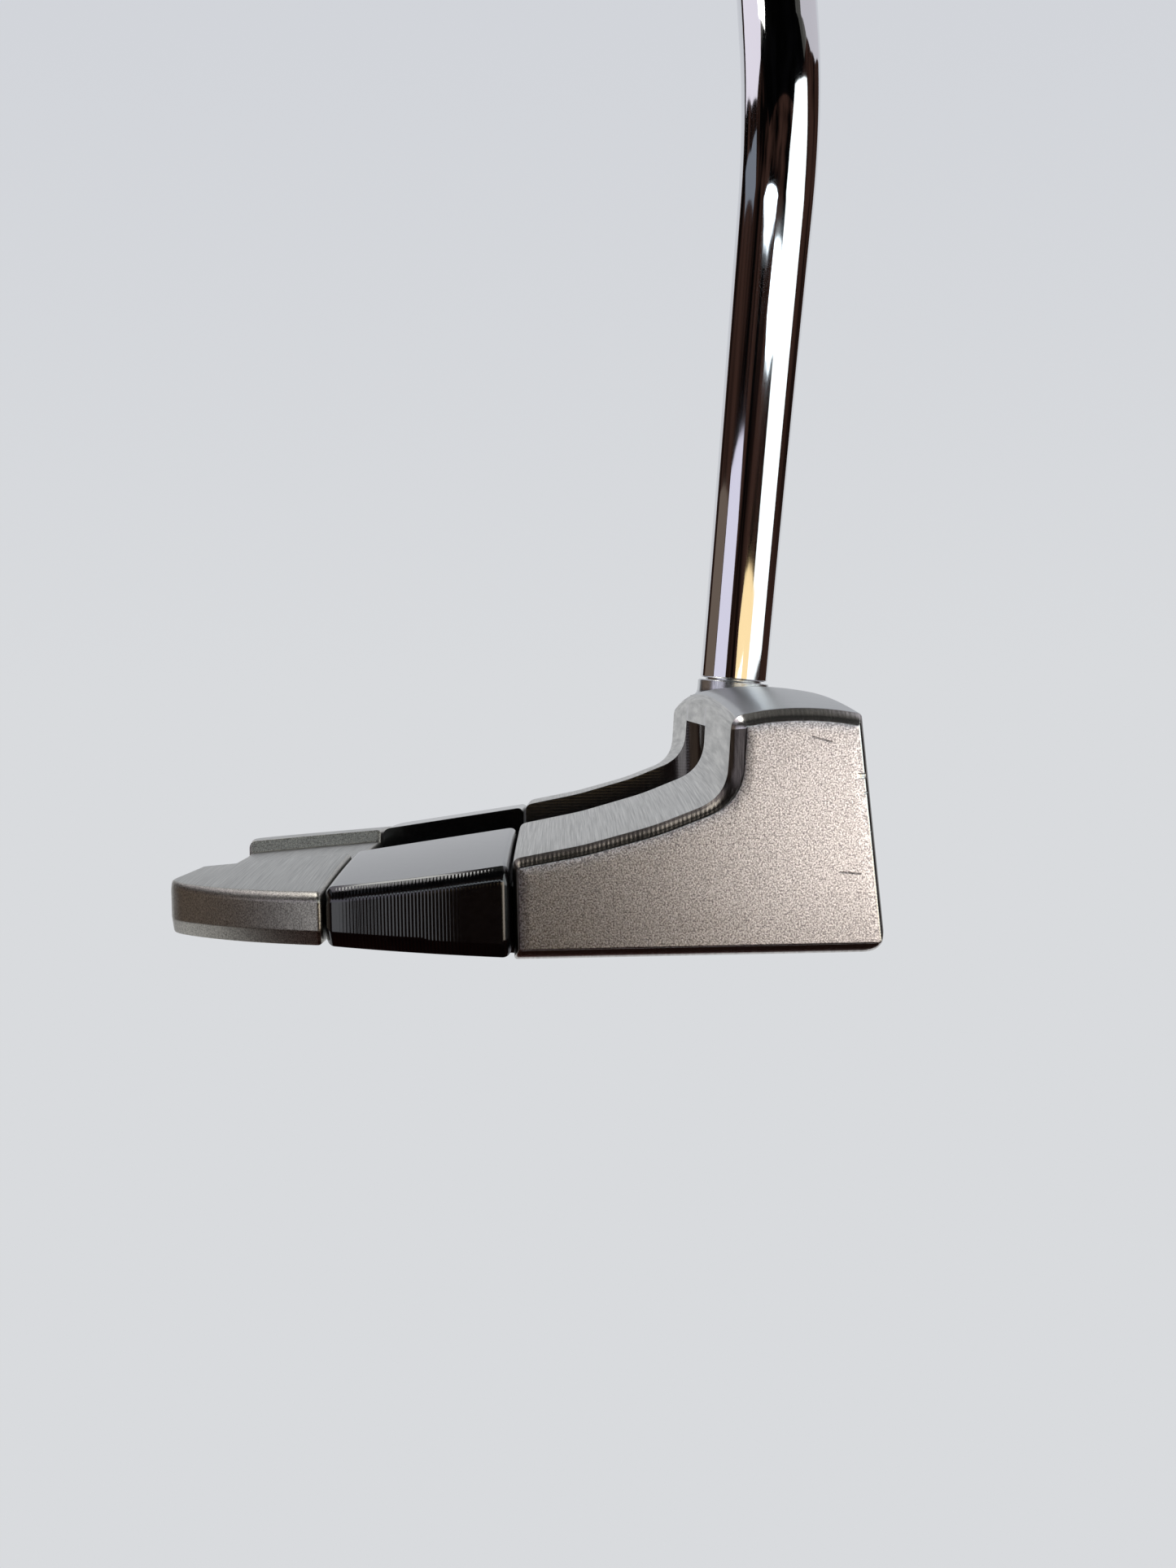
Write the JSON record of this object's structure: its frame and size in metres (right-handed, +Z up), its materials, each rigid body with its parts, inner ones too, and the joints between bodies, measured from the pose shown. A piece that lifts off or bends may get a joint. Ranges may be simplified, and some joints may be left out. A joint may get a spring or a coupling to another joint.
{
  "type": "mallet putter",
  "caption": "Right-handed golf putter: steel and black aluminium mallet head with an open pocket, bent steel shaft and flat-front grip.",
  "frame": {"origin": "middle of the flat patch on the sole that the head rests on", "axes": "+X is the way the face points, +Y runs from the toe to the heel, +Z is up with the sole flat on the ground"},
  "size_m": [0.09, 0.3575, 0.8216],
  "materials": {
    "bead_blasted_steel": "satin",
    "black_aluminium": "satin",
    "white_enamel": "gloss",
    "turned_steel": "satin",
    "screw_steel": "satin",
    "chromed_steel": "polished",
    "grip_foam": "matte",
    "grip_polyurethane": "matte",
    "grip_rubber": "matte"
  },
  "bodies": {
    "root": {"front_body": "bead_blasted_steel", "sole_frame": "black_aluminium", "rear_bar": "bead_blasted_steel", "sight_line": "white_enamel", "sole_weight_toe": "turned_steel", "sole_weight_heel": "turned_steel", "front_screw_centre": "screw_steel", "front_screw_toe": "screw_steel", "front_screw_heel": "screw_steel", "rear_screw_toe": "screw_steel", "rear_screw_heel": "screw_steel", "shaft": "chromed_steel", "grip_core": "grip_foam", "grip_skin": "grip_polyurethane", "grip_cap": "grip_rubber"}
  },
  "joints": []
}
